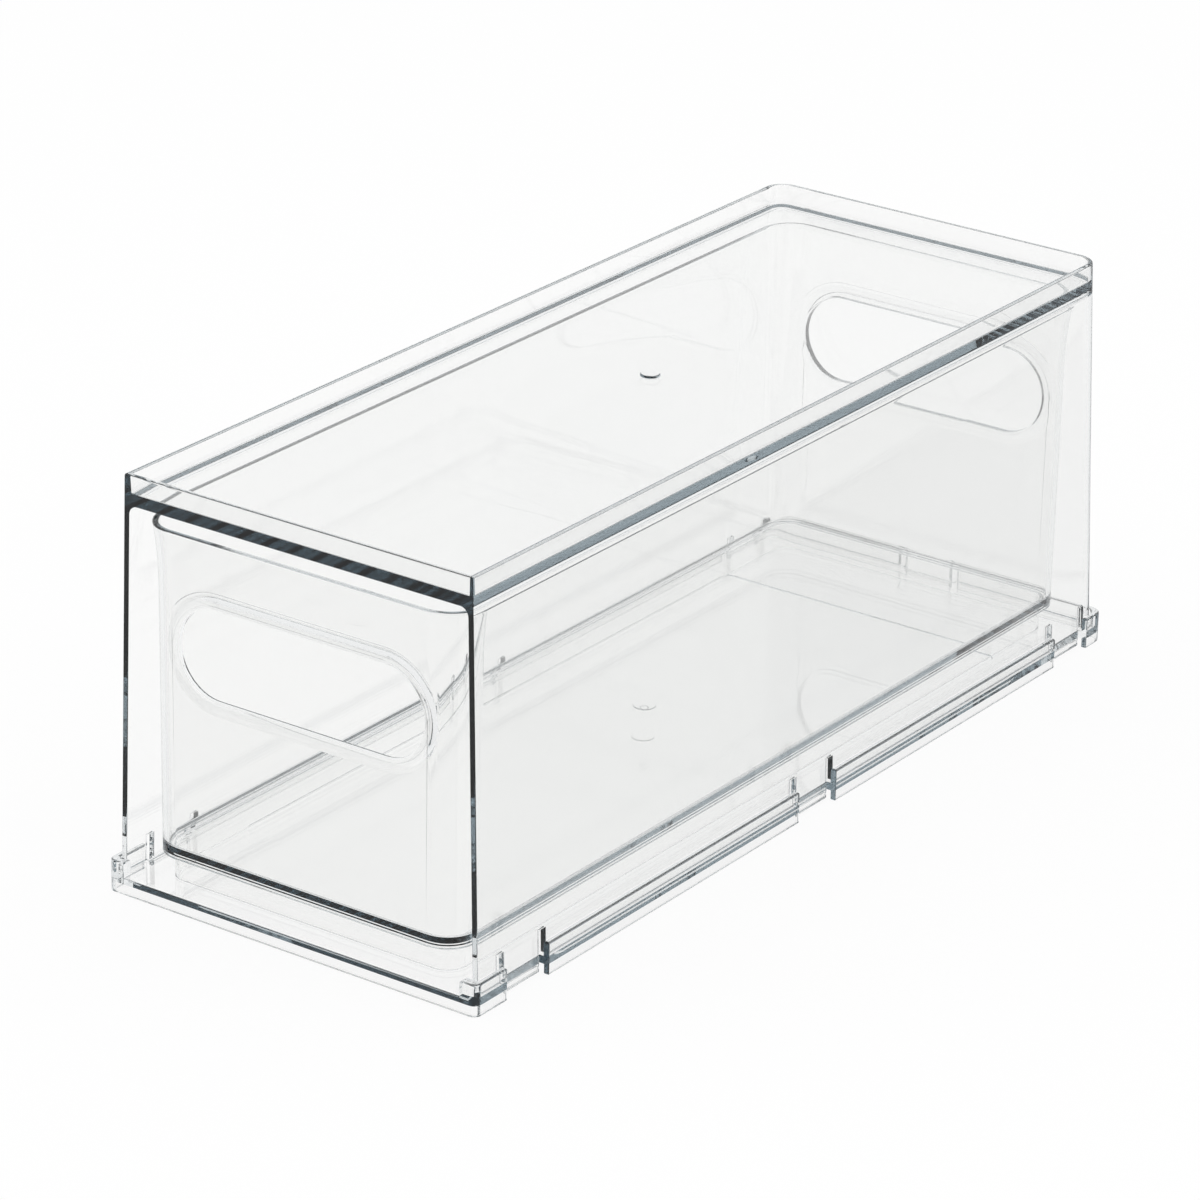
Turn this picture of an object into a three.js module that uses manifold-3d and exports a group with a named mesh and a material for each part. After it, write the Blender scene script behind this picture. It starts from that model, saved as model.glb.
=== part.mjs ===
// Stackable pull-out storage bin in clear plastic, in millimetres, +Z up.
// The origin is on the ground, under the middle of the base.
// -Y is the open front, where the bin is pulled out.
import * as THREE from 'three';
import { mergeVertices } from 'three/addons/utils/BufferGeometryUtils.js';
import Module from 'manifold-3d';

const wasm = await Module();
wasm.setup();

// Overall size
const BASE_WIDTH = 145.9;
const BASE_DEPTH = 370;
const TOTAL_HEIGHT = 142.4;

// Gap between mouldings that meet, and the overrun of every cut
const FIT = 0.3;
const OVERRUN = 2;

// Facets of a quarter round
const CORNER_STEPS = 8;
const FILLET_STEPS = 4;

// Base tray: a plate on a low foot, with a lip round three sides
const FOOT_HEIGHT = 3.2;
const FOOT_WALL = 2;
const PLATE_THICKNESS = 2.7;
const LIP_HEIGHT = 5.2;
const SIDE_LIP_WALL = 2.2;
const REAR_LIP_WALL = 2.4;
const BASE_FRONT_RADIUS = 3;
const BASE_REAR_RADIUS = 5;
const POST_WIDTH = 6.6;
const POST_WALL = 3.8;

// Shallow sunk panel in the plate, and how far it stays from the base's edges
const PANEL_SINK = 0.4;
const PANEL_SINK_SIDE_MARGIN = 15.1;
const PANEL_SINK_END_MARGIN = 49.5;
const PANEL_SINK_RADIUS = 4;

// Outer case: walls, top panel and the stacking rim round it
const CASE_WALL = 2;
const CASE_DRAFT = THREE.MathUtils.degToRad(1.5);
const CASE_REAR_RADIUS = 4.5;
const CASE_REAR_TOP_RADIUS = 7.5;
const TOP_THICKNESS = 3.4;
const CEILING_FILLET = 3;
const RIM_HEIGHT = 7;
const RIM_BASE_WALL = 2.1;
const RIM_TOP_WALL = 1.7;
const RIM_FILLET = 0.6;

// Snap tabs of the case, each between two slots, grooved for the plate's edge
const TAB_WIDTH = 18.5;
const SLOT_WIDTH = 3.1;
const SLOT_HEIGHT = 8.8;
const TAB_GROUND_GAP = 0.9;
const TAB_LEAD_IN = 0.8;
const GROOVE_DEPTH = 0.9;
const TAB_FRONT_INSET = 22.6;
const TAB_REAR_INSET = 19.7;
const WINDOW_PLAY = 1.5;

// Space round the bin at its floor, and over it
const BIN_SIDE_GAP = 7.95;
const BIN_REAR_GAP = 6.1;
const BIN_TOP_GAP = 4.3;
const BIN_FRONT_SETBACK = 1.5;

// Pull-out bin: a tub with a flared top edge, standing on a foot ring
const BIN_WALL = 2;
const BIN_FLOOR = 2.7;
const BIN_SKIRT = 0.7;
const BIN_RADIUS = 11;
const BIN_DRAFT = 0.35;
const BIN_FLARE = 1.75;
const FLARE_HEIGHT = 23;
const FLARE_STEPS = 6;
const FLOOR_FILLET = 1;
const RING_HEIGHT = 9.7;
const RING_INSET = 3.7;
const RING_WALL = 1.2;

// Handle opening in the front and the rear of the bin, with a lip turned inwards
const HANDLE_SIDE_MARGIN = 12.5;
const HANDLE_HEIGHT = 31;
const HANDLE_DROP = 38.5;
const HANDLE_DEPTH = 5.5;
const HANDLE_EDGE = 1.2;
const HANDLE_FILLET = 3;

// Moulding gates: the small nubs left at the middle of each moulding
const GATE_DIAMETER = 2.2;
const GATE_HEIGHT = 0.4;
const GATE_STEPS = 16;
const CASE_GATE_SETBACK = 5;
const BIN_GATE_SETBACK = 2.9;
const BASE_GATE_SETBACK = 2.4;

// Levels and edges worked out from the sizes above
const plateTop = FOOT_HEIGHT + PLATE_THICKNESS;
const lipTop = plateTop + LIP_HEIGHT;
const caseBottom = plateTop + FIT;
const ceiling = TOTAL_HEIGHT - RIM_HEIGHT - TOP_THICKNESS;
const topFace = TOTAL_HEIGHT - RIM_HEIGHT;
const baseHalf = BASE_WIDTH / 2;
const baseFront = -BASE_DEPTH / 2;
const baseRear = BASE_DEPTH / 2;
const caseFront = baseFront + POST_WALL + FIT;
const caseHalfAtBottom = baseHalf - SIDE_LIP_WALL - FIT;
const caseRearAtBottom = baseRear - REAR_LIP_WALL - FIT;
const binBottom = plateTop + FIT;
const binTop = ceiling - BIN_TOP_GAP;
const floorUnder = binBottom + RING_HEIGHT;
const floorTop = floorUnder + BIN_FLOOR;
const binHalf = caseHalfAtBottom - CASE_WALL - BIN_SIDE_GAP;
const binFront = caseFront + BIN_FRONT_SETBACK;
const binRear = caseRearAtBottom - CASE_WALL - BIN_REAR_GAP;
const handleLength = 2 * (binHalf - HANDLE_SIDE_MARGIN);
const handleMiddle = binTop - HANDLE_DROP;

const halfTurn = Math.PI;
const quarterTurn = Math.PI / 2;

// Points of a quarter round; a sharp corner is one point
function cornerPoints(x, y, radius, startAngle, steps) {
  if (radius === 0) return [[x, y]];
  const points = [];
  for (let i = 0; i <= steps; i++) {
    const angle = startAngle + quarterTurn * i / steps;
    points.push([x + radius * Math.cos(angle), y + radius * Math.sin(angle)]);
  }
  return points;
}

// Ring of a rectangle with rounded corners, anticlockwise from above
function rectangleRing({ half, front, rear, z, frontRadius, rearRadius, steps = CORNER_STEPS }) {
  const outline = [
    ...cornerPoints(half - frontRadius, front + frontRadius, frontRadius, -quarterTurn, steps),
    ...cornerPoints(half - rearRadius, rear - rearRadius, rearRadius, 0, steps),
    ...cornerPoints(-half + rearRadius, rear - rearRadius, rearRadius, quarterTurn, steps),
    ...cornerPoints(-half + frontRadius, front + frontRadius, frontRadius, halfTurn, steps),
  ];
  return outline.map(([x, y]) => [x, y, z]);
}

// Ring of a slot with round ends, grown by an offset
function slotRing(length, height, offset, z) {
  const radius = height / 2 + offset;
  const reach = (length - height) / 2;
  const ring = [];
  for (const side of [1, -1]) {
    for (let i = 0; i <= 2 * CORNER_STEPS; i++) {
      const angle = side * (halfTurn * i / (2 * CORNER_STEPS) - quarterTurn);
      ring.push([side * (reach + radius * Math.cos(angle)), radius * Math.sin(angle), z]);
    }
  }
  return ring;
}

// Closed skin over a stack of rings, capped at the first and at the last one
function loft(rings) {
  const count = rings[0].length;
  const positions = rings.flat(2);
  const index = [];
  for (let level = 0; level + 1 < rings.length; level++) {
    for (let i = 0; i < count; i++) {
      const a = level * count + i;
      const b = level * count + (i + 1) % count;
      index.push(a, b, b + count, a, b + count, a + count);
    }
  }
  const middle = (ring) => [0, 1, 2].map((axis) => ring.reduce((sum, p) => sum + p[axis], 0) / count);
  const last = (rings.length - 1) * count;
  const bottomPoint = rings.length * count;
  positions.push(...middle(rings[0]), ...middle(rings[rings.length - 1]));
  for (let i = 0; i < count; i++) {
    const next = (i + 1) % count;
    index.push(bottomPoint, next, i, bottomPoint + 1, last + i, last + next);
  }
  const geometry = new THREE.BufferGeometry();
  geometry.setAttribute('position', new THREE.Float32BufferAttribute(positions, 3));
  geometry.setIndex(index);
  return geometry;
}

// Solid from a closed geometry
function solidOf(geometry) {
  const bare = geometry.clone();
  bare.deleteAttribute('normal');
  bare.deleteAttribute('uv');
  const merged = mergeVertices(bare);
  return new wasm.Manifold(new wasm.Mesh({
    numProp: 3,
    vertProperties: new Float32Array(merged.attributes.position.array),
    triVerts: new Uint32Array(merged.index.array),
  }));
}

// Geometry from a solid, with flat shading
function geometryOf(solid) {
  const mesh = solid.getMesh();
  const geometry = new THREE.BufferGeometry();
  geometry.setAttribute('position', new THREE.BufferAttribute(mesh.vertProperties, 3));
  geometry.setIndex(new THREE.BufferAttribute(mesh.triVerts, 1));
  geometry.computeVertexNormals();
  return geometry;
}

// Box between two corners
function box(x0, x1, y0, y1, z0, z1) {
  const geometry = new THREE.BoxGeometry(x1 - x0, y1 - y0, z1 - z0);
  return solidOf(geometry.translate((x0 + x1) / 2, (y0 + y1) / 2, (z0 + z1) / 2));
}

// Nub of a moulding gate, rooted in the plastic between two heights
function gateNub(setback, z0, z1) {
  const radius = GATE_DIAMETER / 2;
  const nub = new THREE.CylinderGeometry(radius, radius, z1 - z0, GATE_STEPS).rotateX(quarterTurn);
  return solidOf(nub.translate(0, setback, (z0 + z1) / 2));
}

// How far the case's walls have leaned in at a height, measured from its bottom edge
const draftAt = (z) => (z - caseBottom) * Math.tan(CASE_DRAFT);

// Radius of the case's rear corners at a height: they widen towards the top
function rearRadiusAt(z) {
  const share = (z - caseBottom) / (TOTAL_HEIGHT - caseBottom);
  return CASE_REAR_RADIUS + (CASE_REAR_TOP_RADIUS - CASE_REAR_RADIUS) * share;
}

// Ring of the case's outside, or of a skin inside it, at a height
function caseRing(z, inset, frontInset) {
  return rectangleRing({
    half: caseHalfAtBottom - draftAt(z) - inset,
    front: caseFront + frontInset,
    rear: caseRearAtBottom - draftAt(z) - inset,
    z,
    frontRadius: 0,
    rearRadius: rearRadiusAt(z) - inset,
  });
}

// Where the snap tabs stand: three along each side wall and one at the rear
function tabPlaces() {
  const first = caseFront + TAB_FRONT_INSET;
  const last = caseRearAtBottom - TAB_REAR_INSET;
  const places = [];
  for (const side of [1, -1]) {
    for (const along of [first, (first + last) / 2, last]) {
      places.push({ turn: side * quarterTurn - quarterTurn, x: side * caseHalfAtBottom, y: along });
    }
  }
  places.push({ turn: quarterTurn, x: 0, y: caseRearAtBottom });
  return places;
}

// Moves a solid drawn at the origin, facing +X, to one tab's place
function atTab(solid, place) {
  const matrix = new THREE.Matrix4().makeRotationZ(place.turn).setPosition(place.x, place.y, 0);
  return solid.transform(matrix.elements);
}

// Slots that free one tab from the wall, drawn facing +X
function tabSlots() {
  const outer = TAB_WIDTH / 2 + SLOT_WIDTH;
  const inner = TAB_WIDTH / 2;
  const top = caseBottom + SLOT_HEIGHT;
  const reach = [-CASE_WALL - OVERRUN, OVERRUN];
  const one = box(...reach, inner, outer, caseBottom - OVERRUN, top);
  return one.add(box(...reach, -outer, -inner, caseBottom - OVERRUN, top));
}

// Lower end of one tab, drawn facing +X: the plate's edge snaps into its groove
function tabEnd() {
  const bottom = TAB_GROUND_GAP;
  const grooveBottom = FOOT_HEIGHT - FIT;
  const profile = new THREE.Shape();
  profile.moveTo(0, caseBottom);
  profile.lineTo(-CASE_WALL + GROOVE_DEPTH, caseBottom);
  profile.lineTo(-CASE_WALL + GROOVE_DEPTH, grooveBottom);
  profile.lineTo(-CASE_WALL, grooveBottom);
  profile.lineTo(-CASE_WALL, bottom + TAB_LEAD_IN);
  profile.lineTo(-CASE_WALL + TAB_LEAD_IN, bottom);
  profile.lineTo(0, bottom);
  profile.closePath();
  const geometry = new THREE.ExtrudeGeometry(profile, { depth: TAB_WIDTH, bevelEnabled: false });
  return solidOf(geometry.rotateX(quarterTurn).translate(0, TAB_WIDTH / 2, 0));
}

// Window in the base's edge for one tab, drawn facing +X
function tabWindow() {
  const half = TAB_WIDTH / 2 + WINDOW_PLAY;
  const outside = SIDE_LIP_WALL + FIT + OVERRUN;
  return box(-CASE_WALL + GROOVE_DEPTH - FIT, outside, -half, half, -OVERRUN, lipTop + OVERRUN);
}

// Outer case: left, right and rear wall, top panel and stacking rim
function outerCase() {
  const outside = solidOf(loft([caseRing(caseBottom, 0, 0), caseRing(TOTAL_HEIGHT, 0, 0)]));

  // Space for the bin, open at the front and at the bottom, filleted under the panel
  const roomRings = [caseRing(caseBottom - OVERRUN, CASE_WALL, -OVERRUN)];
  for (let i = 0; i <= FILLET_STEPS; i++) {
    const angle = quarterTurn * i / FILLET_STEPS;
    const z = ceiling - CEILING_FILLET * (1 - Math.sin(angle));
    const inset = CASE_WALL + CEILING_FILLET * (1 - Math.cos(angle));
    roomRings.push(caseRing(z, inset, -OVERRUN));
  }

  // Sunk top inside the rim
  const rimInset = (z) => {
    const share = (z - topFace) / RIM_HEIGHT;
    return RIM_BASE_WALL + (RIM_TOP_WALL - RIM_BASE_WALL) * share;
  };
  const wellRing = (z, extra) => {
    const inset = rimInset(z) + extra;
    return caseRing(z, inset, inset);
  };
  const wellRings = [];
  for (let i = FILLET_STEPS; i >= 0; i--) {
    const angle = quarterTurn * i / FILLET_STEPS;
    wellRings.push(wellRing(topFace + RIM_FILLET * (1 - Math.sin(angle)), RIM_FILLET * (1 - Math.cos(angle))));
  }
  wellRings.push(wellRing(TOTAL_HEIGHT + OVERRUN, 0));

  let solid = outside.subtract(solidOf(loft(roomRings))).subtract(solidOf(loft(wellRings)));
  const slots = tabSlots();
  const end = tabEnd();
  for (const place of tabPlaces()) {
    solid = solid.subtract(atTab(slots, place)).add(atTab(end, place));
  }
  return solid.add(gateNub(CASE_GATE_SETBACK, topFace - TOP_THICKNESS / 2, topFace + GATE_HEIGHT));
}

// Ring of the base's outline, or of a line inside it, at a height
function baseRing(z, inset) {
  return rectangleRing({
    half: baseHalf - inset,
    front: baseFront + inset,
    rear: baseRear - inset,
    z,
    frontRadius: Math.max(BASE_FRONT_RADIUS - inset, FIT),
    rearRadius: BASE_REAR_RADIUS - inset,
  });
}

// Base tray: plate, foot, lip on three sides and the two front posts
function baseTray() {
  const block = solidOf(loft([baseRing(0, 0), baseRing(lipTop, 0)]));
  const hollowUnder = solidOf(loft([baseRing(-OVERRUN, FOOT_WALL), baseRing(FOOT_HEIGHT, FOOT_WALL)]));
  const seatRing = (z) => rectangleRing({
    half: baseHalf - SIDE_LIP_WALL,
    front: baseFront + POST_WALL,
    rear: baseRear - REAR_LIP_WALL,
    z,
    frontRadius: 0,
    rearRadius: CASE_REAR_RADIUS + FIT,
  });
  const seat = solidOf(loft([seatRing(plateTop), seatRing(lipTop + OVERRUN)]));
  const mouthHalf = baseHalf - POST_WIDTH;
  const mouth = box(
    -mouthHalf, mouthHalf, baseFront - OVERRUN, baseFront + POST_WALL + OVERRUN, plateTop, lipTop + OVERRUN,
  );
  const sinkRing = (z) => rectangleRing({
    half: baseHalf - PANEL_SINK_SIDE_MARGIN,
    front: baseFront + PANEL_SINK_END_MARGIN,
    rear: baseRear - PANEL_SINK_END_MARGIN,
    z,
    frontRadius: PANEL_SINK_RADIUS,
    rearRadius: PANEL_SINK_RADIUS,
  });
  const sink = solidOf(loft([sinkRing(plateTop - PANEL_SINK), sinkRing(plateTop + OVERRUN)]));
  let solid = block.subtract(hollowUnder).subtract(seat).subtract(mouth).subtract(sink);
  const window = tabWindow();
  for (const place of tabPlaces()) {
    solid = solid.subtract(atTab(window, place));
  }
  const sinkFace = plateTop - PANEL_SINK;
  return solid.add(gateNub(BASE_GATE_SETBACK, sinkFace - PLATE_THICKNESS / 2, sinkFace + GATE_HEIGHT));
}

// How far the bin's wall stands out at a height, measured from its floor
function binOffset(z) {
  const rise = Math.max(0, (z - floorUnder) / (binTop - floorUnder));
  const flare = Math.max(0, (z - binTop + FLARE_HEIGHT) / FLARE_HEIGHT);
  return BIN_DRAFT * rise + BIN_FLARE * flare * flare;
}

// Ring of the bin's outside, or of a skin inside it, at a height
function binRing(z, inset) {
  const grow = binOffset(z) - inset;
  return rectangleRing({
    half: binHalf + grow,
    front: binFront - grow,
    rear: binRear + grow,
    z,
    frontRadius: BIN_RADIUS + grow,
    rearRadius: BIN_RADIUS + grow,
  });
}

// Rings of a handle's skin, drawn facing +Z: straight down to an arc, round it, and straight again
function handleRings({ from, arcDepth, arcOffset, radius, to }) {
  const ring = (depth, offset) => slotRing(handleLength, HANDLE_HEIGHT, offset, -depth);
  const rings = [ring(from, arcOffset + radius)];
  for (let i = 0; i <= FILLET_STEPS; i++) {
    const angle = quarterTurn * i / FILLET_STEPS;
    const depth = arcDepth + radius * (1 - Math.cos(angle));
    rings.push(ring(depth, arcOffset + radius * (1 - Math.sin(angle))));
  }
  rings.push(ring(to, arcOffset));
  return rings.reverse();
}

// Pull-out bin: tub, foot ring and a handle opening at each end
function pullOutBin() {
  const rings = [binRing(floorUnder - BIN_SKIRT, 0)];
  const flareLevels = [];
  for (let i = 0; i <= FLARE_STEPS; i++) {
    flareLevels.push(binTop - FLARE_HEIGHT * (1 - i / FLARE_STEPS));
  }
  for (const z of flareLevels) rings.push(binRing(z, 0));
  for (const z of flareLevels.toReversed()) rings.push(binRing(z, BIN_WALL));
  for (let i = 0; i <= FILLET_STEPS; i++) {
    const angle = quarterTurn * i / FILLET_STEPS;
    const z = floorTop + FLOOR_FILLET * (1 - Math.sin(angle));
    rings.push(binRing(z, BIN_WALL + FLOOR_FILLET * (1 - Math.cos(angle))));
  }
  let solid = solidOf(loft(rings));

  // Shallow skirt left round the underside of the floor
  const underside = [binRing(floorUnder - BIN_SKIRT - OVERRUN, BIN_WALL), binRing(floorUnder, BIN_WALL)];
  solid = solid.subtract(solidOf(loft(underside)));

  // Foot ring, open underneath
  const ringInset = RING_INSET + RING_WALL;
  const ringOutside = [binRing(binBottom, RING_INSET), binRing(floorUnder + BIN_FLOOR / 2, RING_INSET)];
  const ringInside = [binRing(binBottom - OVERRUN, ringInset), binRing(floorUnder, ringInset)];
  solid = solid.add(solidOf(loft(ringOutside)).subtract(solidOf(loft(ringInside))));

  // Handle openings with their lips
  const lip = loft(handleRings({
    from: BIN_WALL / 2, arcDepth: BIN_WALL, arcOffset: BIN_WALL, radius: HANDLE_FILLET, to: HANDLE_DEPTH,
  }));
  const mouth = loft(handleRings({
    from: -OVERRUN, arcDepth: 0, arcOffset: 0, radius: HANDLE_EDGE, to: HANDLE_DEPTH + OVERRUN,
  }));
  const outstand = binOffset(handleMiddle);
  const ends = [
    { turn: 0, y: binFront - outstand },
    { turn: halfTurn, y: binRear + outstand },
  ];
  for (const end of ends) {
    const matrix = new THREE.Matrix4().makeRotationZ(end.turn)
      .multiply(new THREE.Matrix4().makeRotationX(quarterTurn)).setPosition(0, end.y, handleMiddle);
    solid = solid.add(solidOf(lip.clone().applyMatrix4(matrix)));
    solid = solid.subtract(solidOf(mouth.clone().applyMatrix4(matrix)));
  }
  return solid.add(gateNub(BIN_GATE_SETBACK, floorUnder - GATE_HEIGHT, floorUnder + BIN_FLOOR / 2));
}

// Clear plastic with the faint grey of its cut edges
const clearPlastic = new THREE.MeshStandardMaterial({
  color: 0xe3e9eb, roughness: 0.05, metalness: 0, transparent: true, opacity: 0.35,
});

// Named piece of the assembly
function piece(name, solid) {
  const mesh = new THREE.Mesh(geometryOf(solid), clearPlastic.clone());
  mesh.name = name;
  return mesh;
}

const housing = new THREE.Group();
housing.add(piece('base_tray', baseTray()));
housing.add(piece('outer_case', outerCase()));

const storageBin = new THREE.Group();
storageBin.add(housing);
storageBin.add(piece('pull_out_bin', pullOutBin()));

export default storageBin;
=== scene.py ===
import math

import bmesh
import bpy
from mathutils import Matrix, Vector


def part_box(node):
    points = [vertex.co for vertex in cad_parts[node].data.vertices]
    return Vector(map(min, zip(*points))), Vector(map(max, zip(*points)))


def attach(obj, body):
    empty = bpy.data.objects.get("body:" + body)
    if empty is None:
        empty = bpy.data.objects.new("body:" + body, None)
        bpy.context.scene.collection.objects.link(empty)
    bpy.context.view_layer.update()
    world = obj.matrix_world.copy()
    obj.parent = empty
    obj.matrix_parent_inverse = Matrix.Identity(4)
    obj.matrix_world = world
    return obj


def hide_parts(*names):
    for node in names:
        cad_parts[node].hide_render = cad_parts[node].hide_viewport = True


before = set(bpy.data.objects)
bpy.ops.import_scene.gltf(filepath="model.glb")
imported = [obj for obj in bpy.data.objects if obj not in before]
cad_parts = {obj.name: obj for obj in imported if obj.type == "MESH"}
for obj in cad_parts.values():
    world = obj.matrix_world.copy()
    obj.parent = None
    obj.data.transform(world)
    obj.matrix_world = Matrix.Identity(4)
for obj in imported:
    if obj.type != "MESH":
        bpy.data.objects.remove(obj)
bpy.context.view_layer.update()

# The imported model's box, and the boxes of its housing mouldings in millimetres
MM = 0.001
base_lo, base_hi = [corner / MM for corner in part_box("base_tray")]
case_lo, case_hi = [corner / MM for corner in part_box("outer_case")]

# All sizes of the mouldings are in millimetres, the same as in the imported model.
# The play between two mouldings, and how far a cutting tool reaches past the plastic
FIT = 0.3
OVERRUN = 2

# Base tray: foot ring, plate, lips, front posts and sunk panel
FOOT_HEIGHT = 3.2
FOOT_WALL = 2
PLATE_TOP = 5.9
LIP_TOP = 11.1
SIDE_LIP_WALL = 2.2
REAR_LIP_WALL = 2.4
BASE_FRONT_RADIUS = 3
BASE_REAR_RADIUS = 5
POST_WIDTH = 6.6
POST_WALL = 3.8
SINK = 0.4
SINK_SIDE_MARGIN = 15.1
SINK_END_MARGIN = 49.5
SINK_RADIUS = 4

# Outer case: walls, top panel and rim, then the snap tabs and their windows in the tray
CASE_BOTTOM = 6.2
CASE_WALL = 2
CASE_DRAFT = math.radians(1.5)
CASE_REAR_RADIUS = 4.5
CASE_REAR_TOP_RADIUS = 7.5
CEILING = 132
CEILING_FILLET = 3
TOP_FACE = 135.4
RIM_BASE_WALL = 2.1
RIM_TOP_WALL = 1.7
RIM_FILLET = 0.6
TAB_WIDTH = 18.5
SLOT_WIDTH = 3.1
SLOT_TOP = 15
TAB_GROUND_GAP = 0.9
TAB_LEAD_IN = 0.8
GROOVE_DEPTH = 0.9
TAB_FRONT_INSET = 22.6
TAB_REAR_INSET = 19.7
WINDOW_PLAY = 1.5

# Pull-out bin: tub, floor and the foot ring, which is rooted in the floor
BIN_HALF = 60.5
BIN_FRONT = -179.4
BIN_REAR = 174.2
BIN_BOTTOM = 6.2
BIN_TOP = 127.7
BIN_WALL = 2
FLOOR_UNDER = 15.9
FLOOR_TOP = 18.6
BIN_SKIRT = 0.7
BIN_RADIUS = 11
BIN_DRAFT = 0.35
BIN_FLARE = 1.75
FLARE_HEIGHT = 23
FLOOR_FILLET = 1
RING_INSET = 3.7
RING_WALL = 1.2
RING_ROOT = 1
BRIM_ROUND = 0.75

# Handle: the opening and its rounded edges, then the bead, which is rooted in the wall, rises
# from its reach to its crest and ends at its depth behind the wall's face
HANDLE_LENGTH = 96
HANDLE_HEIGHT = 31
HANDLE_MIDDLE = 89.2
HANDLE_DEPTH = 3.3
HANDLE_EDGE = 1.4
HANDLE_TIP = 0.8
HANDLE_CREST = 1.1
HANDLE_REACH = 5.7
BEAD_ROOT = 0.03

# Marks of the moulding gates as (radius, height, rounding), how deep they are rooted and where they are
TOP_GATE = (3.4, 0.7, 0.5)
FLOOR_GATE = (1.4, 0.8, 0.4)
GATE_DISC = (3.9, 0.2, 0.2)
GATE_ROOT = 1
CASE_GATE_Y = 5
BIN_GATE_Y = 2.9
BASE_GATE_Y = 2.4

# Facets: of a corner's and a fillet's quarter round, of the bin's flare and of a gate's circle
QUARTER = math.pi / 2
CORNER_STEPS = 18
FILLET_STEPS = 8
FLARE_STEPS = 14
GATE_STEPS = 48

# Rounding of the outward edges, larger on the case's rim and the tray's lips
EDGE_ROUND = 0.3
RIM_ROUND = 0.75
LIP_ROUND = 0.8
EDGE_SEGMENTS = 4
EDGE_ANGLE = math.radians(40)
SAME_HEIGHT = 0.03

# Clean-up after the cuts: distance at which points are welded, faces that count as one flat face,
# edges that stay sharp, and how much large faces lead in the shading
WELD = 0.002
FLAT_ANGLE = math.radians(0.2)
SHARP_ANGLE = math.radians(50)
NORMAL_WEIGHT = 80

# Clear styrene: the surface, and the slate tint that builds up with depth, per metre
SURFACE_TINT = (1, 0.998, 0.993, 1)
REFRACTION = 1.57
DEPTH_TINT = (0.86, 0.88, 0.89, 1)
DEPTH_DENSITY = 60

# Rub marks of each moulding as (strongest roughness, noise scale, place in the noise)
TRAY_RUBS = (0.05, 60, 1.3)
CASE_RUBS = (0.04, 45, 4.1)
BIN_RUBS = (0.04, 50, 7.7)
RUB_DETAIL = 4
RUB_RANGE = (0.45, 0.8)

# Slow swell of the moulded walls
SWELL_SCALE = 22
SWELL_DETAIL = 1
SWELL_STRENGTH = 0.02
SWELL_DISTANCE = 0.002

# Camera at the photo's viewing angle, in metres
CAMERA_AZIMUTH = math.radians(35.1545)
CAMERA_ELEVATION = math.radians(23.0109)
CAMERA_ROLL = math.radians(1.2190)
CAMERA_LENS = 164.1736
CAMERA_PLACE = (0.951684, -1.372160, 0.766111)
CAMERA_SENSOR = 36
CAMERA_CLIP_END = 60

# Room: its light on things, and for reflections a darker part towards DARK_SIDE, which fades out
# to the rear by DARK_SPREAD, and below and above by the directions' heights DARK_LOW and DARK_HIGH
WHITE = (1, 1, 1)
ROOM_LIGHT = 0.6
DARK_SIDE = (0.3, -1, 0)
DARK_SPREAD = (-0.45, 0.15)
DARK_LOW = (0.1, 0.2)
DARK_HIGH = (0.7, 0.9)
DARK_TONE = (0.1, 0.115, 0.13)

# Floor, in metres: how much of it shows as plain white, its tone where an outer face reflects it,
# its tone after a reflection inside the plastic, and its paper
FLOOR_HALF = 12
FLOOR_Z = -0.0003
FLOOR_SHARE = 0.93
FLOOR_TONE = (0.56, 0.57, 0.58)
GUIDED_TONE = (0.95, 0.955, 0.96)
PAPER = (0.97, 0.97, 0.97, 1)
PAPER_ROUGHNESS = 0.9
PAPER_SPECULAR = 0.1

# Soft lamps as (name, place, target, size, power), in metres and watts
LAMPS = (
    ("top_lamp", (0.1, 0.1, 1.8), (0, 0, 0), 2.4, 13),
    ("left_lamp", (-1.6, -0.9, 1.2), (0, 0, 0.05), 1.6, 7),
    ("right_lamp", (1.6, 0.3, 1.3), (0, 0, 0.05), 1.6, 7),
)

# Light passes through many clear walls, and along them
BOUNCES = 64

# Colour sockets of Blender's Mix node, whose names aren't unique
MIX_LOW, MIX_HIGH, MIX_RESULT = 6, 7, 2


def fillet():
    """Steps of a quarter round of radius 1 as (inset, drop), from its foot (0, 1) to its top (1, 0)."""
    angles = [QUARTER * i / FILLET_STEPS for i in range(FILLET_STEPS + 1)]
    return [(1 - math.cos(angle), 1 - math.sin(angle)) for angle in angles]


def quarter_arc(x, y, radius, start, steps):
    """Points of a quarter round; a sharp corner is one point."""
    if radius == 0:
        return [(x, y)]
    turns = [start + QUARTER * i / steps for i in range(steps + 1)]
    return [(x + radius * math.cos(t), y + radius * math.sin(t)) for t in turns]


def rectangle(half, front, rear, z, front_radius, rear_radius):
    """Ring of a rectangle with rounded corners, anticlockwise from above."""
    f, r, n = front_radius, rear_radius, CORNER_STEPS
    outline = (
        quarter_arc(half - f, front + f, f, -QUARTER, n)
        + quarter_arc(half - r, rear - r, r, 0, n)
        + quarter_arc(-half + r, rear - r, r, QUARTER, n)
        + quarter_arc(-half + f, front + f, f, 2 * QUARTER, n)
    )
    return [(x, y, z) for x, y in outline]


def solid(name, rings):
    """Closed mesh object over a stack of rings."""
    count = len(rings[0])
    points = [point for ring in rings for point in ring]
    faces = [tuple(reversed(range(count))), tuple(range(len(points) - count, len(points)))]
    for level in range(len(rings) - 1):
        for i in range(count):
            a, b = level * count + i, level * count + (i + 1) % count
            faces.append((a, b, b + count, a + count))
    mesh = bpy.data.meshes.new(name)
    mesh.from_pydata(points, [], faces)
    obj = bpy.data.objects.new(name, mesh)
    bpy.context.scene.collection.objects.link(obj)
    return obj


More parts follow.
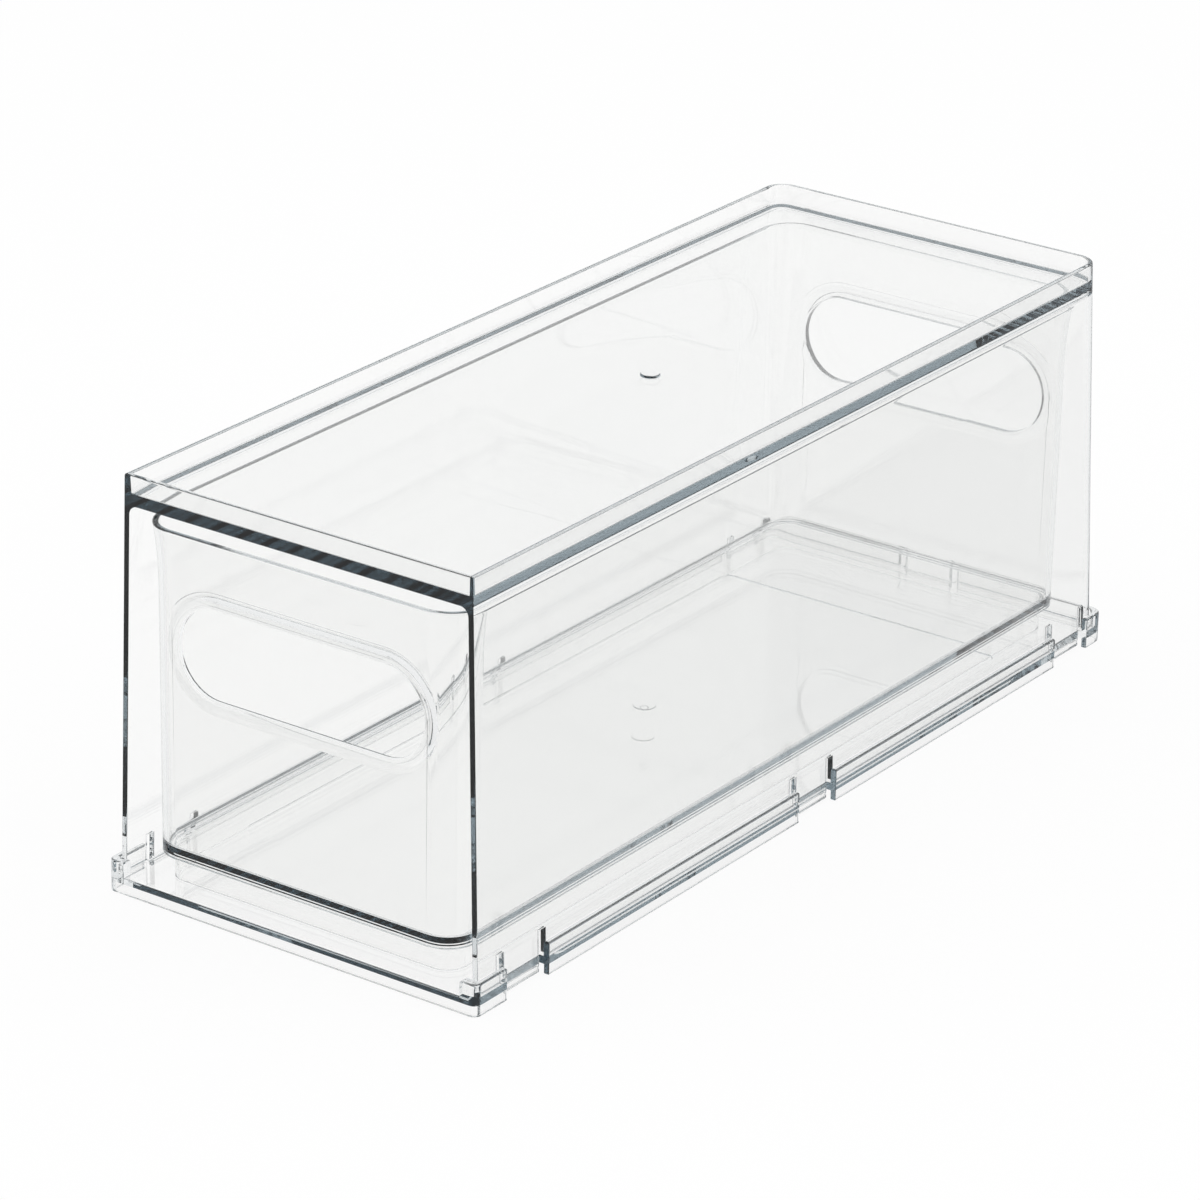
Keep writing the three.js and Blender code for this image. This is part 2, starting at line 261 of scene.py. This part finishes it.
def box(name, x0, x1, y0, y1, z0, z1):
    """Closed box between two corners."""
    corners = [(x0, y0), (x1, y0), (x1, y1), (x0, y1)]
    return solid(name, [[(x, y, z) for x, y in corners] for z in (z0, z1)])


def bake(obj):
    """Puts the result of an object's modifiers into its mesh."""
    graph = bpy.context.evaluated_depsgraph_get()
    mesh = bpy.data.meshes.new_from_object(obj.evaluated_get(graph))
    old = obj.data
    obj.modifiers.clear()
    obj.data = mesh
    bpy.data.meshes.remove(old)


def combine(obj, tool, operation):
    """Cuts a tool out of an object, or joins it on, and removes the tool."""
    modifier = obj.modifiers.new("combine", "BOOLEAN")
    modifier.operation = operation
    modifier.solver = "EXACT"
    modifier.object = tool
    bake(obj)
    mesh = tool.data
    bpy.data.objects.remove(tool)
    bpy.data.meshes.remove(mesh)
    return obj


def cut(obj, tool):
    """Cuts a tool out of an object."""
    return combine(obj, tool, "DIFFERENCE")


def join(obj, tool):
    """Joins a tool on to an object."""
    return combine(obj, tool, "UNION")


def place(obj, matrix):
    """Moves a mesh to its place."""
    obj.data.transform(matrix)
    return obj


def spot(x, y, turn):
    """Place on the ground plan, turned about the upright axis."""
    return Matrix.Translation((x, y, 0)) @ Matrix.Rotation(turn, 4, "Z")


def gate(y, face, shape, up=1):
    """Round mark of a moulding gate on a face, with a rounded rim; up is -1 under a floor."""
    radius, height, rounding = shape
    levels = [(-GATE_ROOT, radius)]
    levels += [(height - rounding * drop, radius - rounding * inset) for inset, drop in fillet()]
    turns = [4 * QUARTER * i / GATE_STEPS for i in range(GATE_STEPS)]
    rings = [
        [(r * math.cos(t), y + r * math.sin(t), face + up * rise) for t in turns]
        for rise, r in levels[::up]
    ]
    return solid("gate", rings)


def round_edges(bm, top, top_round):
    """Marks the outward edges for rounding; those at the height top get top_round."""
    widest = max(EDGE_ROUND, top_round)
    weight = bm.edges.layers.float.new("bevel_weight_edge")
    for edge in bm.edges:
        if len(edge.link_faces) != 2 or edge.calc_face_angle_signed() < EDGE_ANGLE:
            continue
        at_top = all(abs(vert.co.z - top) < SAME_HEIGHT for vert in edge.verts)
        edge[weight] = (top_round if at_top else EDGE_ROUND) / widest
    return widest


def finish_moulding(obj, body, node, slot, rubs, top=0, top_round=EDGE_ROUND):
    """Rounds the edges, shades the curves smooth and sets a moulding in the frame."""
    bm = bmesh.new()
    bm.from_mesh(obj.data)
    bmesh.ops.remove_doubles(bm, verts=bm.verts, dist=WELD)
    bmesh.ops.dissolve_limit(
        bm, angle_limit=FLAT_ANGLE, verts=bm.verts, edges=bm.edges, delimit={"NORMAL"}
    )
    bm.normal_update()
    widest = round_edges(bm, top, top_round)
    bm.to_mesh(obj.data)
    bm.free()
    edges = obj.modifiers.new("edges", "BEVEL")
    edges.width = widest
    edges.segments = EDGE_SEGMENTS
    edges.limit_method = "WEIGHT"
    edges.use_clamp_overlap = False
    bake(obj)
    obj.data.transform(Matrix.Scale(MM, 4))
    obj.name = obj.data.name = node + "_moulding"
    obj.data.shade_smooth()
    obj.data.set_sharp_from_angle(angle=SHARP_ANGLE)
    normals = obj.modifiers.new("normals", "WEIGHTED_NORMAL")
    normals.keep_sharp = True
    normals.weight = NORMAL_WEIGHT
    bake(obj)
    obj.data.materials.clear()
    obj.data.materials.append(clear_plastic(slot, *rubs))
    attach(obj, body)
    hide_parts(node)


def draft_at(z):
    """How far the case's walls have leaned in at a height."""
    return (z - CASE_BOTTOM) * math.tan(CASE_DRAFT)


def rear_radius_at(z):
    """Radius of the case's rear corners, which grows with the height."""
    share = (z - CASE_BOTTOM) / (case_hi.z - CASE_BOTTOM)
    return CASE_REAR_RADIUS + (CASE_REAR_TOP_RADIUS - CASE_REAR_RADIUS) * share


def case_ring(z, inset, front_inset):
    """Ring of the case's outline at a height, set in by inset at the sides and the rear."""
    lean = draft_at(z) + inset
    radius = rear_radius_at(z) - inset
    return rectangle(case_hi.x - lean, case_lo.y + front_inset, case_hi.y - lean, z, 0, radius)


def well_ring(z, extra):
    """Ring of the well inside the case's rim, whose wall gets thinner towards the top."""
    share = (z - TOP_FACE) / (case_hi.z - TOP_FACE)
    inset = RIM_BASE_WALL + (RIM_TOP_WALL - RIM_BASE_WALL) * share + extra
    return case_ring(z, inset, inset)


def tab_places():
    """Places of the seven snap tabs: three in each side wall and one in the rear wall."""
    first, last = case_lo.y + TAB_FRONT_INSET, case_hi.y - TAB_REAR_INSET
    places = [
        spot(side * case_hi.x, along, side * QUARTER - QUARTER)
        for side in (1, -1)
        for along in (first, (first + last) / 2, last)
    ]
    return places + [spot(0, case_hi.y, QUARTER)]


def tab_end():
    """Lower end of a snap tab, grooved for the plate's edge, drawn facing +X."""
    inner = -CASE_WALL + GROOVE_DEPTH
    profile = [
        (0, TAB_GROUND_GAP),
        (0, CASE_BOTTOM),
        (inner, CASE_BOTTOM),
        (inner, FOOT_HEIGHT - FIT),
        (-CASE_WALL, FOOT_HEIGHT - FIT),
        (-CASE_WALL, TAB_GROUND_GAP + TAB_LEAD_IN),
        (-CASE_WALL + TAB_LEAD_IN, TAB_GROUND_GAP),
    ]
    half = TAB_WIDTH / 2
    return solid("tab", [[(x, y, z) for x, z in profile] for y in (half, -half)])


def outer_case():
    """Case that is open in front and below, with a rimmed top, and its slotted snap tabs."""
    obj = solid("case", [case_ring(z, 0, 0) for z in (CASE_BOTTOM, case_hi.z)])
    rings = [case_ring(CASE_BOTTOM - OVERRUN, CASE_WALL, -OVERRUN)]
    for inset, drop in fillet():
        z = CEILING - CEILING_FILLET * drop
        rings.append(case_ring(z, CASE_WALL + CEILING_FILLET * inset, -OVERRUN))
    cut(obj, solid("room", rings))
    steps = reversed(fillet())
    rings = [well_ring(TOP_FACE + RIM_FILLET * drop, RIM_FILLET * inset) for inset, drop in steps]
    rings.append(well_ring(case_hi.z + OVERRUN, 0))
    cut(obj, solid("well", rings))
    reach = CASE_WALL + OVERRUN
    near, far = TAB_WIDTH / 2, TAB_WIDTH / 2 + SLOT_WIDTH
    for matrix in tab_places():
        for y0, y1 in ((near, far), (-far, -near)):
            slot = box("slot", -reach, OVERRUN, y0, y1, CASE_BOTTOM - OVERRUN, SLOT_TOP)
            cut(obj, place(slot, matrix))
        join(obj, place(tab_end(), matrix))
    return join(obj, gate(CASE_GATE_Y, TOP_FACE, TOP_GATE))


def base_ring(z, inset):
    """Ring of the tray's outline at a height, set in all round."""
    return rectangle(
        base_hi.x - inset,
        base_lo.y + inset,
        base_hi.y - inset,
        z,
        max(BASE_FRONT_RADIUS - inset, FIT),
        BASE_REAR_RADIUS - inset,
    )


def seat_ring(z):
    """Ring of the seat that the case stands in, between the lips and the front posts."""
    return rectangle(
        base_hi.x - SIDE_LIP_WALL,
        base_lo.y + POST_WALL,
        base_hi.y - REAR_LIP_WALL,
        z,
        0,
        CASE_REAR_RADIUS + FIT,
    )


def sink_ring(z):
    """Ring of the sunk panel in the plate."""
    return rectangle(
        base_hi.x - SINK_SIDE_MARGIN,
        base_lo.y + SINK_END_MARGIN,
        base_hi.y - SINK_END_MARGIN,
        z,
        SINK_RADIUS,
        SINK_RADIUS,
    )


def base_tray():
    """Tray on a foot ring, with lips, front posts, a sunk panel and the tabs' windows."""
    obj = solid("tray", [base_ring(0, 0), base_ring(LIP_TOP, 0)])
    cut(obj, solid("under", [base_ring(-OVERRUN, FOOT_WALL), base_ring(FOOT_HEIGHT, FOOT_WALL)]))
    above = LIP_TOP + OVERRUN
    cut(obj, solid("seat", [seat_ring(PLATE_TOP), seat_ring(above)]))
    mouth = base_hi.x - POST_WIDTH
    y0, y1 = base_lo.y - OVERRUN, base_lo.y + POST_WALL + OVERRUN
    cut(obj, box("mouth", -mouth, mouth, y0, y1, PLATE_TOP, above))
    cut(obj, solid("sink", [sink_ring(PLATE_TOP - SINK), sink_ring(PLATE_TOP + OVERRUN)]))
    window = TAB_WIDTH / 2 + WINDOW_PLAY
    inner, outer = -CASE_WALL + GROOVE_DEPTH - FIT, SIDE_LIP_WALL + FIT + OVERRUN
    for matrix in tab_places():
        cut(obj, place(box("window", inner, outer, -window, window, -OVERRUN, above), matrix))
    return join(obj, gate(BASE_GATE_Y, PLATE_TOP - SINK, GATE_DISC))


def bin_offset(z):
    """How far the bin's wall stands out at a height, measured from its floor."""
    rise = max(0, (z - FLOOR_UNDER) / (BIN_TOP - FLOOR_UNDER))
    flare = max(0, (z - BIN_TOP + FLARE_HEIGHT) / FLARE_HEIGHT)
    return BIN_DRAFT * rise + BIN_FLARE * flare * flare


def bin_ring(z, inset):
    """Ring of the bin's outline at a height, set in all round."""
    grow = bin_offset(z) - inset
    radius = BIN_RADIUS + grow
    return rectangle(BIN_HALF + grow, BIN_FRONT - grow, BIN_REAR + grow, z, radius, radius)


def handle_skin(name, sections):
    """Closed skin of a slot with round ends, from (depth, offset) sections, drawn facing -Y."""
    reach = (HANDLE_LENGTH - HANDLE_HEIGHT) / 2
    rings = []
    for depth, offset in sections:
        radius = HANDLE_HEIGHT / 2 + offset
        ring = []
        for side in (1, -1):
            for i in range(2 * CORNER_STEPS + 1):
                angle = side * (QUARTER * i / CORNER_STEPS - QUARTER)
                x = side * (reach + radius * math.cos(angle))
                ring.append((x, depth, HANDLE_MIDDLE + radius * math.sin(angle)))
        rings.append(ring)
    return solid(name, rings[::-1])


def handle_bead():
    """Sections of the bead inside the wall, which swells gently towards the opening."""
    sections = [(BIN_WALL / 2, HANDLE_REACH)]
    root = BIN_WALL - BEAD_ROOT
    count = 2 * FILLET_STEPS
    for i in range(count + 1):
        swell = (1 - math.cos(math.pi * i / count)) / 2
        reach = HANDLE_REACH + (HANDLE_CREST - HANDLE_REACH) * i / count
        sections.append((root + (HANDLE_DEPTH - root) * swell, reach))
    sections.append((HANDLE_DEPTH, HANDLE_TIP))
    return sections


def handle_hole():
    """Sections of the opening, rounded where it meets the wall's face and the bead's end."""
    sections = [(-OVERRUN, HANDLE_EDGE)]
    sections += [(HANDLE_EDGE * inset, HANDLE_EDGE * drop) for inset, drop in fillet()]
    sections += [(HANDLE_DEPTH - HANDLE_TIP * drop, HANDLE_TIP * inset) for inset, drop in fillet()]
    sections.append((HANDLE_DEPTH + OVERRUN, HANDLE_TIP))
    return sections


def pull_out_bin():
    """Tub with a flared brim, a raised floor on a foot ring and a handle at each end."""
    skirt = FLOOR_UNDER - BIN_SKIRT
    flare = [BIN_TOP - FLARE_HEIGHT * (1 - i / FLARE_STEPS) for i in range(FLARE_STEPS)]
    levels = flare + [BIN_TOP - BRIM_ROUND]
    brim = [(BRIM_ROUND * inset, BIN_TOP - BRIM_ROUND * drop) for inset, drop in fillet()[1:]]
    rings = [bin_ring(skirt, 0)]
    rings += [bin_ring(z, 0) for z in levels]
    rings += [bin_ring(z, inset) for inset, z in brim]
    rings += [bin_ring(z, BIN_WALL - inset) for inset, z in reversed(brim)]
    rings += [bin_ring(z, BIN_WALL) for z in reversed(levels)]
    for inset, drop in fillet():
        rings.append(bin_ring(FLOOR_TOP + FLOOR_FILLET * drop, BIN_WALL + FLOOR_FILLET * inset))
    obj = solid("bin", rings)
    cut(obj, solid("skirt", [bin_ring(skirt - OVERRUN, BIN_WALL), bin_ring(FLOOR_UNDER, BIN_WALL)]))
    foot = solid("foot", [bin_ring(z, RING_INSET) for z in (BIN_BOTTOM, FLOOR_UNDER + RING_ROOT)])
    inside = RING_INSET + RING_WALL
    cut(foot, solid("inside", [bin_ring(z, inside) for z in (BIN_BOTTOM - OVERRUN, FLOOR_UNDER)]))
    join(obj, foot)
    stand = bin_offset(HANDLE_MIDDLE)
    for matrix in (spot(0, BIN_FRONT - stand, 0), spot(0, BIN_REAR + stand, 2 * QUARTER)):
        join(obj, place(handle_skin("bead", handle_bead()), matrix))
        cut(obj, place(handle_skin("hole", handle_hole()), matrix))
    join(obj, gate(BIN_GATE_Y, FLOOR_TOP, GATE_DISC))
    return join(obj, gate(BIN_GATE_Y, FLOOR_UNDER, FLOOR_GATE, -1))


def clear_plastic(name, roughness, scale, seed):
    """Clear styrene plastic: polished, with a faint swell, fine rub marks and a slate tint in depth."""
    material = bpy.data.materials.new(name)
    material.use_nodes = True
    nodes, links = material.node_tree.nodes, material.node_tree.links
    shader = nodes["Principled BSDF"]
    shader.inputs["Base Color"].default_value = SURFACE_TINT
    shader.inputs["Transmission Weight"].default_value = 1
    shader.inputs["IOR"].default_value = REFRACTION
    place_in = nodes.new("ShaderNodeTexCoord")
    shift = nodes.new("ShaderNodeMapping")
    shift.inputs["Location"].default_value = (seed, 2 * seed, 3 * seed)
    links.new(place_in.outputs["Object"], shift.inputs["Vector"])

    marks = nodes.new("ShaderNodeTexNoise")
    marks.inputs["Scale"].default_value = scale
    marks.inputs["Detail"].default_value = RUB_DETAIL
    links.new(shift.outputs["Vector"], marks.inputs["Vector"])
    polish = nodes.new("ShaderNodeMapRange")
    polish.inputs["From Min"].default_value = RUB_RANGE[0]
    polish.inputs["From Max"].default_value = RUB_RANGE[1]
    polish.inputs["To Min"].default_value = 0
    polish.inputs["To Max"].default_value = roughness
    links.new(marks.outputs["Fac"], polish.inputs["Value"])
    links.new(polish.outputs["Result"], shader.inputs["Roughness"])

    swell = nodes.new("ShaderNodeTexNoise")
    swell.inputs["Scale"].default_value = SWELL_SCALE
    swell.inputs["Detail"].default_value = SWELL_DETAIL
    links.new(shift.outputs["Vector"], swell.inputs["Vector"])
    bump = nodes.new("ShaderNodeBump")
    bump.inputs["Strength"].default_value = SWELL_STRENGTH
    bump.inputs["Distance"].default_value = SWELL_DISTANCE
    links.new(swell.outputs["Fac"], bump.inputs["Height"])
    links.new(bump.outputs["Normal"], shader.inputs["Normal"])

    depth = nodes.new("ShaderNodeVolumeAbsorption")
    depth.inputs["Color"].default_value = DEPTH_TINT
    depth.inputs["Density"].default_value = DEPTH_DENSITY
    links.new(depth.outputs["Volume"], nodes["Material Output"].inputs["Volume"])
    return material


def add_camera():
    """Camera at the photo's place, turned by its azimuth, elevation and roll."""
    ca, sa = math.cos(CAMERA_AZIMUTH), math.sin(CAMERA_AZIMUTH)
    ce, se = math.cos(CAMERA_ELEVATION), math.sin(CAMERA_ELEVATION)
    cr, sr = math.cos(CAMERA_ROLL), math.sin(CAMERA_ROLL)
    back = (sa * ce, -ca * ce, se)
    level_right = (ca, sa, 0)
    level_up = (-se * sa, se * ca, ce)
    right = [cr * r + sr * u for r, u in zip(level_right, level_up)]
    up = [-sr * r + cr * u for r, u in zip(level_right, level_up)]
    data = bpy.data.cameras.new("camera")
    data.lens = CAMERA_LENS
    data.sensor_width = CAMERA_SENSOR
    data.clip_end = CAMERA_CLIP_END
    camera = bpy.data.objects.new("camera", data)
    rows = [[right[i], up[i], back[i], at] for i, at in enumerate(CAMERA_PLACE)]
    camera.matrix_world = Matrix(rows + [[0, 0, 0, 1]])
    bpy.context.scene.collection.objects.link(camera)
    bpy.context.scene.camera = camera


def add_lamp(name, place_at, target, size, power):
    """Soft square lamp that looks at a point."""
    data = bpy.data.lights.new(name, "AREA")
    data.shape = "SQUARE"
    data.size = size
    data.energy = power
    lamp = bpy.data.objects.new(name, data)
    turn = (Vector(place_at) - Vector(target)).to_track_quat("Z", "Y").to_matrix().to_4x4()
    lamp.matrix_world = Matrix.Translation(place_at) @ turn
    lamp.visible_transmission = False
    bpy.context.scene.collection.objects.link(lamp)


def feed(tree, socket, value):
    """Gives a socket another node's output, or a colour or number of its own."""
    if isinstance(value, bpy.types.NodeSocket):
        tree.links.new(value, socket)
    elif isinstance(value, tuple):
        socket.default_value = (*value, 1)
    else:
        socket.default_value = value


def reckon(tree, operation, first, second):
    """Result of an operation on two values; each is a number or another node's output."""
    node = tree.nodes.new("ShaderNodeMath")
    node.operation = operation
    feed(tree, node.inputs[0], first)
    feed(tree, node.inputs[1], second)
    return node.outputs["Value"]


def mix_colours(tree, share, low, high):
    """Colour between two, by a share from 0 to 1; each is a colour or another node's output."""
    mix = tree.nodes.new("ShaderNodeMix")
    mix.data_type = "RGBA"
    feed(tree, mix.inputs["Factor"], share)
    feed(tree, mix.inputs[MIX_LOW], low)
    feed(tree, mix.inputs[MIX_HIGH], high)
    return mix.outputs[MIX_RESULT]


def mix_shaders(tree, share, low, high, output):
    """Mixes two shaders by a share from 0 to 1 and sends the result to an output."""
    mix = tree.nodes.new("ShaderNodeMixShader")
    tree.links.new(share, mix.inputs["Fac"])
    tree.links.new(low, mix.inputs[1])
    tree.links.new(high, mix.inputs[2])
    tree.links.new(mix.outputs["Shader"], tree.nodes[output].inputs["Surface"])


def between(tree, value, start, end):
    """Smooth step of a value from 0 at start to 1 at end."""
    step = tree.nodes.new("ShaderNodeMapRange")
    step.interpolation_type = "SMOOTHSTEP"
    step.inputs["From Min"].default_value = start
    step.inputs["From Max"].default_value = end
    tree.links.new(value, step.inputs["Value"])
    return step.outputs["Result"]


def seen_rays(tree):
    """1 for camera, glossy and transmission rays, and 0 for the light that falls on things."""
    path = tree.nodes.new("ShaderNodeLightPath").outputs
    seen = reckon(tree, "MAXIMUM", path["Is Camera Ray"], path["Is Glossy Ray"])
    return reckon(tree, "MAXIMUM", seen, path["Is Transmission Ray"])


def reflected(tree):
    """1 for a ray that a surface has reflected on its way, and 0 for one that only passed through."""
    path = tree.nodes.new("ShaderNodeLightPath").outputs
    return reckon(tree, "MINIMUM", path["Glossy Depth"], 1)


def room_tone(tree):
    """Tone of the studio by direction: white at the horizon, behind and above, darker in front."""
    nodes, links = tree.nodes, tree.links
    direction = nodes.new("ShaderNodeTexCoord").outputs["Generated"]
    split = nodes.new("ShaderNodeSeparateXYZ")
    links.new(direction, split.inputs["Vector"])
    toward = nodes.new("ShaderNodeVectorMath")
    toward.operation = "DOT_PRODUCT"
    links.new(direction, toward.inputs[0])
    toward.inputs[1].default_value = DARK_SIDE
    front = between(tree, toward.outputs["Value"], *DARK_SPREAD)
    low = between(tree, split.outputs["Z"], *DARK_LOW)
    high = between(tree, split.outputs["Z"], *DARK_HIGH)
    tone = mix_colours(tree, front, WHITE, DARK_TONE)
    tone = mix_colours(tree, low, WHITE, tone)
    return mix_colours(tree, high, tone, WHITE)


def add_room():
    """White surroundings, darker in front for reflections, that give a plain even light."""
    world = bpy.data.worlds.new("studio")
    bpy.context.scene.world = world
    world.use_nodes = True
    tree = world.node_tree
    shown = tree.nodes["Background"]
    feed(tree, shown.inputs["Color"], mix_colours(tree, reflected(tree), WHITE, room_tone(tree)))
    feed(tree, shown.inputs["Strength"], 1)
    light = tree.nodes.new("ShaderNodeBackground")
    feed(tree, light.inputs["Color"], WHITE)
    feed(tree, light.inputs["Strength"], ROOM_LIGHT)
    light, shown = light.outputs["Background"], shown.outputs["Background"]
    mix_shaders(tree, seen_rays(tree), light, shown, "World Output")


def add_floor():
    """Pale floor that keeps a faint shadow."""
    side = FLOOR_HALF
    corners = [(-side, -side), (side, -side), (side, side), (-side, side)]
    mesh = bpy.data.meshes.new("floor")
    mesh.from_pydata([(x, y, FLOOR_Z) for x, y in corners], [], [(0, 1, 2, 3)])
    floor = bpy.data.objects.new("floor", mesh)
    bpy.context.scene.collection.objects.link(floor)
    material = bpy.data.materials.new("floor_paper")
    material.use_nodes = True
    tree = material.node_tree
    paper = tree.nodes["Principled BSDF"]
    paper.inputs["Base Color"].default_value = PAPER
    paper.inputs["Roughness"].default_value = PAPER_ROUGHNESS
    paper.inputs["Specular IOR Level"].default_value = PAPER_SPECULAR
    guided = tree.nodes.new("ShaderNodeLightPath").outputs["Is Transmission Ray"]
    mirrored = mix_colours(tree, guided, FLOOR_TONE, GUIDED_TONE)
    white = tree.nodes.new("ShaderNodeEmission")
    feed(tree, white.inputs["Color"], mix_colours(tree, reflected(tree), WHITE, mirrored))
    feed(tree, white.inputs["Strength"], 1)
    share = reckon(tree, "MULTIPLY", seen_rays(tree), FLOOR_SHARE)
    paper, white = paper.outputs["BSDF"], white.outputs["Emission"]
    mix_shaders(tree, share, paper, white, "Material Output")
    mesh.materials.append(material)


add_camera()
add_room()
add_floor()
for lamp in LAMPS:
    add_lamp(*lamp)
finish_moulding(base_tray(), "housing", "base_tray", "clear_tray", TRAY_RUBS, LIP_TOP, LIP_ROUND)
finish_moulding(outer_case(), "housing", "outer_case", "clear_case", CASE_RUBS, case_hi.z, RIM_ROUND)
finish_moulding(pull_out_bin(), "bin", "pull_out_bin", "clear_bin", BIN_RUBS)

scene = bpy.context.scene
scene.cycles.max_bounces = BOUNCES
scene.cycles.transmission_bounces = BOUNCES
scene.cycles.glossy_bounces = BOUNCES
scene.view_settings.view_transform = "Standard"
